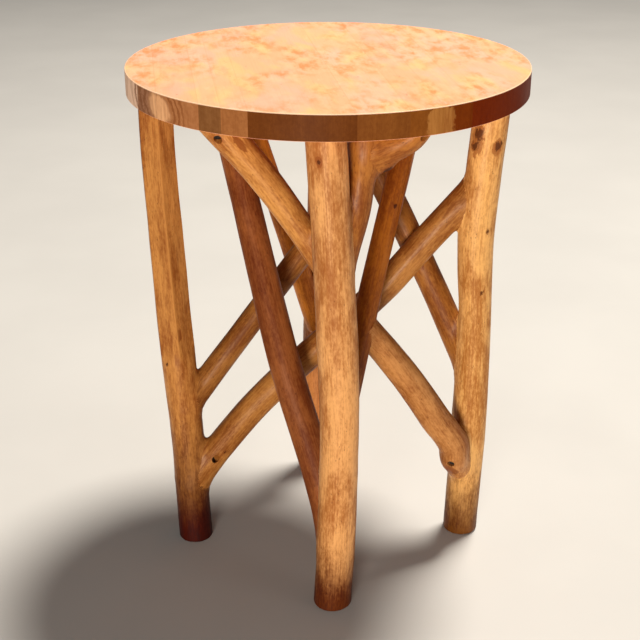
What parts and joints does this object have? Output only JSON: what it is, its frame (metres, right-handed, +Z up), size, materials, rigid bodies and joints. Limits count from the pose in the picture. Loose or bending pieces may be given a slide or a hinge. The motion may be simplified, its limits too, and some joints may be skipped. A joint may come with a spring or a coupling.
{
  "type": "side table",
  "caption": "Round side table: a thick top of glued boards on near-upright branch legs, tied by slanting branches that lap and cross.",
  "frame": {"origin": "middle of the table's footprint, on the floor under the top's middle", "axes": "+Z up, +Y from the front leg to the back leg, +X to the right as seen from the front"},
  "size_m": [0.44, 0.44, 0.6],
  "materials": {
    "leg_left": "clear varnish, satin",
    "leg_front": "clear varnish, satin",
    "leg_right": "clear varnish, satin",
    "leg_back": "clear varnish, satin",
    "brace_front_left": "clear varnish, satin",
    "brace_front_right": "clear varnish, satin",
    "brace_knee": "clear varnish, satin",
    "brace_cross": "clear varnish, satin",
    "brace_low": "clear varnish, satin",
    "brace_left": "clear varnish, satin",
    "brace_back": "clear varnish, satin",
    "brace_right": "clear varnish, satin",
    "brace_fork": "clear varnish, satin",
    "top_board_1": "clear varnish, satin",
    "top_board_2": "clear varnish, satin",
    "top_board_3": "clear varnish, satin",
    "top_board_4": "clear varnish, satin",
    "top_board_5": "clear varnish, satin",
    "top_board_6": "clear varnish, satin",
    "top_board_7": "clear varnish, satin",
    "top_board_8": "clear varnish, satin",
    "top_board_9": "clear varnish, satin",
    "leg_dowels": "plain beech",
    "brace_screws": "darkened steel"
  },
  "bodies": {
    "root": {"leg_left": "leg_left", "leg_front": "leg_front", "leg_right": "leg_right", "leg_back": "leg_back", "brace_front_left": "brace_front_left", "brace_front_right": "brace_front_right", "brace_knee": "brace_knee", "brace_cross": "brace_cross", "brace_low": "brace_low", "brace_left": "brace_left", "brace_back": "brace_back", "brace_right": "brace_right", "brace_fork": "brace_fork", "top_board_1": "top_board_1", "top_board_2": "top_board_2", "top_board_3": "top_board_3", "top_board_4": "top_board_4", "top_board_5": "top_board_5", "top_board_6": "top_board_6", "top_board_7": "top_board_7", "top_board_8": "top_board_8", "top_board_9": "top_board_9", "leg_dowels": "leg_dowels", "brace_screws": "brace_screws"}
  },
  "joints": []
}
